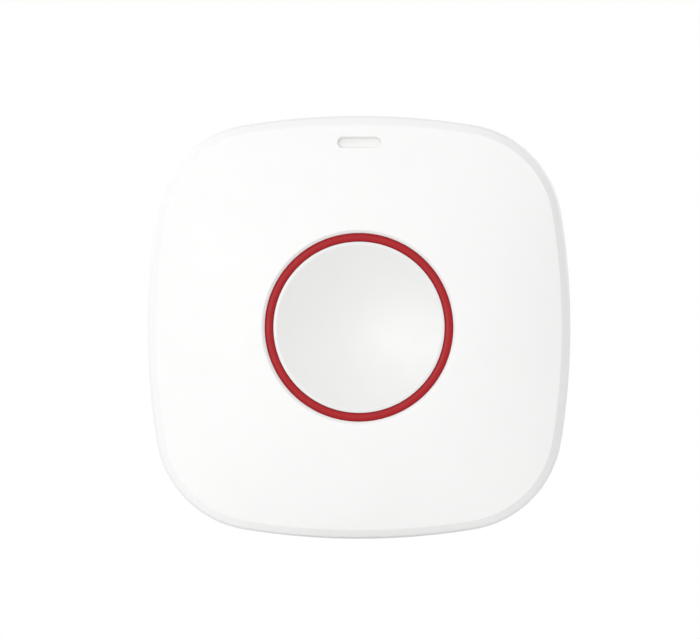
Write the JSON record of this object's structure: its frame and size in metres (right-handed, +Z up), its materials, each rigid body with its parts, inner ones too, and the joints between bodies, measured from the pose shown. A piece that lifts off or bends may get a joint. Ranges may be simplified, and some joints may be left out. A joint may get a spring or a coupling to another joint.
{
  "type": "wireless panic button",
  "caption": "Wall-mounted wireless panic button: a nearly square crowned case with a large round dished button in a red ring, on a bracket it slides onto.",
  "frame": {"origin": "middle of the wall bracket's back face, on the button's axis", "axes": "+Y into the wall, so the front faces -Y; +X to the right as seen from the front; +Z up"},
  "size_m": [0.08, 0.022, 0.08],
  "materials": {
    "case_white": "fine satin moulded",
    "cap_white": "fine satin moulded",
    "ring_red": "smooth semi-gloss moulded",
    "frosted_lens": "frosted translucent",
    "carrier_grey": "moulded",
    "black_plastic": "moulded",
    "board_green": "solder mask on glass laminate",
    "screw_steel": "zinc plated",
    "spring_steel": "drawn wire",
    "cell_steel": "nickel-plated can",
    "contact_nickel": "nickel-plated sheet",
    "antenna_brass": "drawn wire",
    "capacitor_aluminium": "drawn can"
  },
  "bodies": {
    "bracket": {"wall_bracket": "case_white"},
    "unit": {"rear_cover": "case_white", "front_cover": "case_white", "case_screw_1": "screw_steel", "case_screw_2": "screw_steel", "case_screw_3": "screw_steel", "case_screw_4": "screw_steel", "circuit_board": "board_green", "board_screw_1": "screw_steel", "board_screw_2": "screw_steel", "board_screw_3": "screw_steel", "antenna_coil": "antenna_brass", "rf_shield": "contact_nickel", "controller_chip": "black_plastic", "bulk_capacitor": "capacitor_aluminium", "crystal": "contact_nickel", "status_led": "frosted_lens", "light_pipe": "frosted_lens", "coin_cell": "cell_steel", "battery_holder": "black_plastic", "positive_contact": "contact_nickel", "negative_contact": "contact_nickel", "tamper_switch": "black_plastic", "tamper_spring": "spring_steel", "switch_body": "black_plastic", "spring_seat": "carrier_grey", "return_spring": "spring_steel"},
    "button": {"button_carrier": "carrier_grey", "red_ring": "ring_red", "button_cap": "cap_white"},
    "stem": {"switch_stem": "carrier_grey"},
    "plunger": {"tamper_plunger": "carrier_grey"},
    "door": {"battery_door": "case_white"}
  },
  "joints": [
    {"name": "unit_slide", "type": "slide", "parent": "bracket", "child": "unit", "axis": [0, 0, 1], "range_m": [0, 0.006]},
    {"name": "button_press", "type": "slide", "parent": "unit", "child": "button", "axis": [0, 1, 0], "range_m": [0, 0.001], "stiffness_N_per_m": 1500, "springref_m": -0.0005, "deforming": ["return_spring"]},
    {"name": "stem_press", "type": "slide", "parent": "unit", "child": "stem", "axis": [0, 1, 0], "range_m": [0, 0.001]},
    {"name": "plunger_travel", "type": "slide", "parent": "unit", "child": "plunger", "axis": [0, 1, 0], "range_m": [0, 0.0012], "deforming": ["tamper_spring"]},
    {"name": "door_turn", "type": "hinge", "parent": "unit", "child": "door", "pos_m": [0, -0.0032, 0], "axis": [0, 1, 0], "range_deg": [0, 35]}
  ],
  "couplings": [
    {"joint": "stem_press", "follows": "button_press", "ratio": 1},
    {"joint": "plunger_travel", "follows": "unit_slide", "ratio": 0.2}
  ]
}
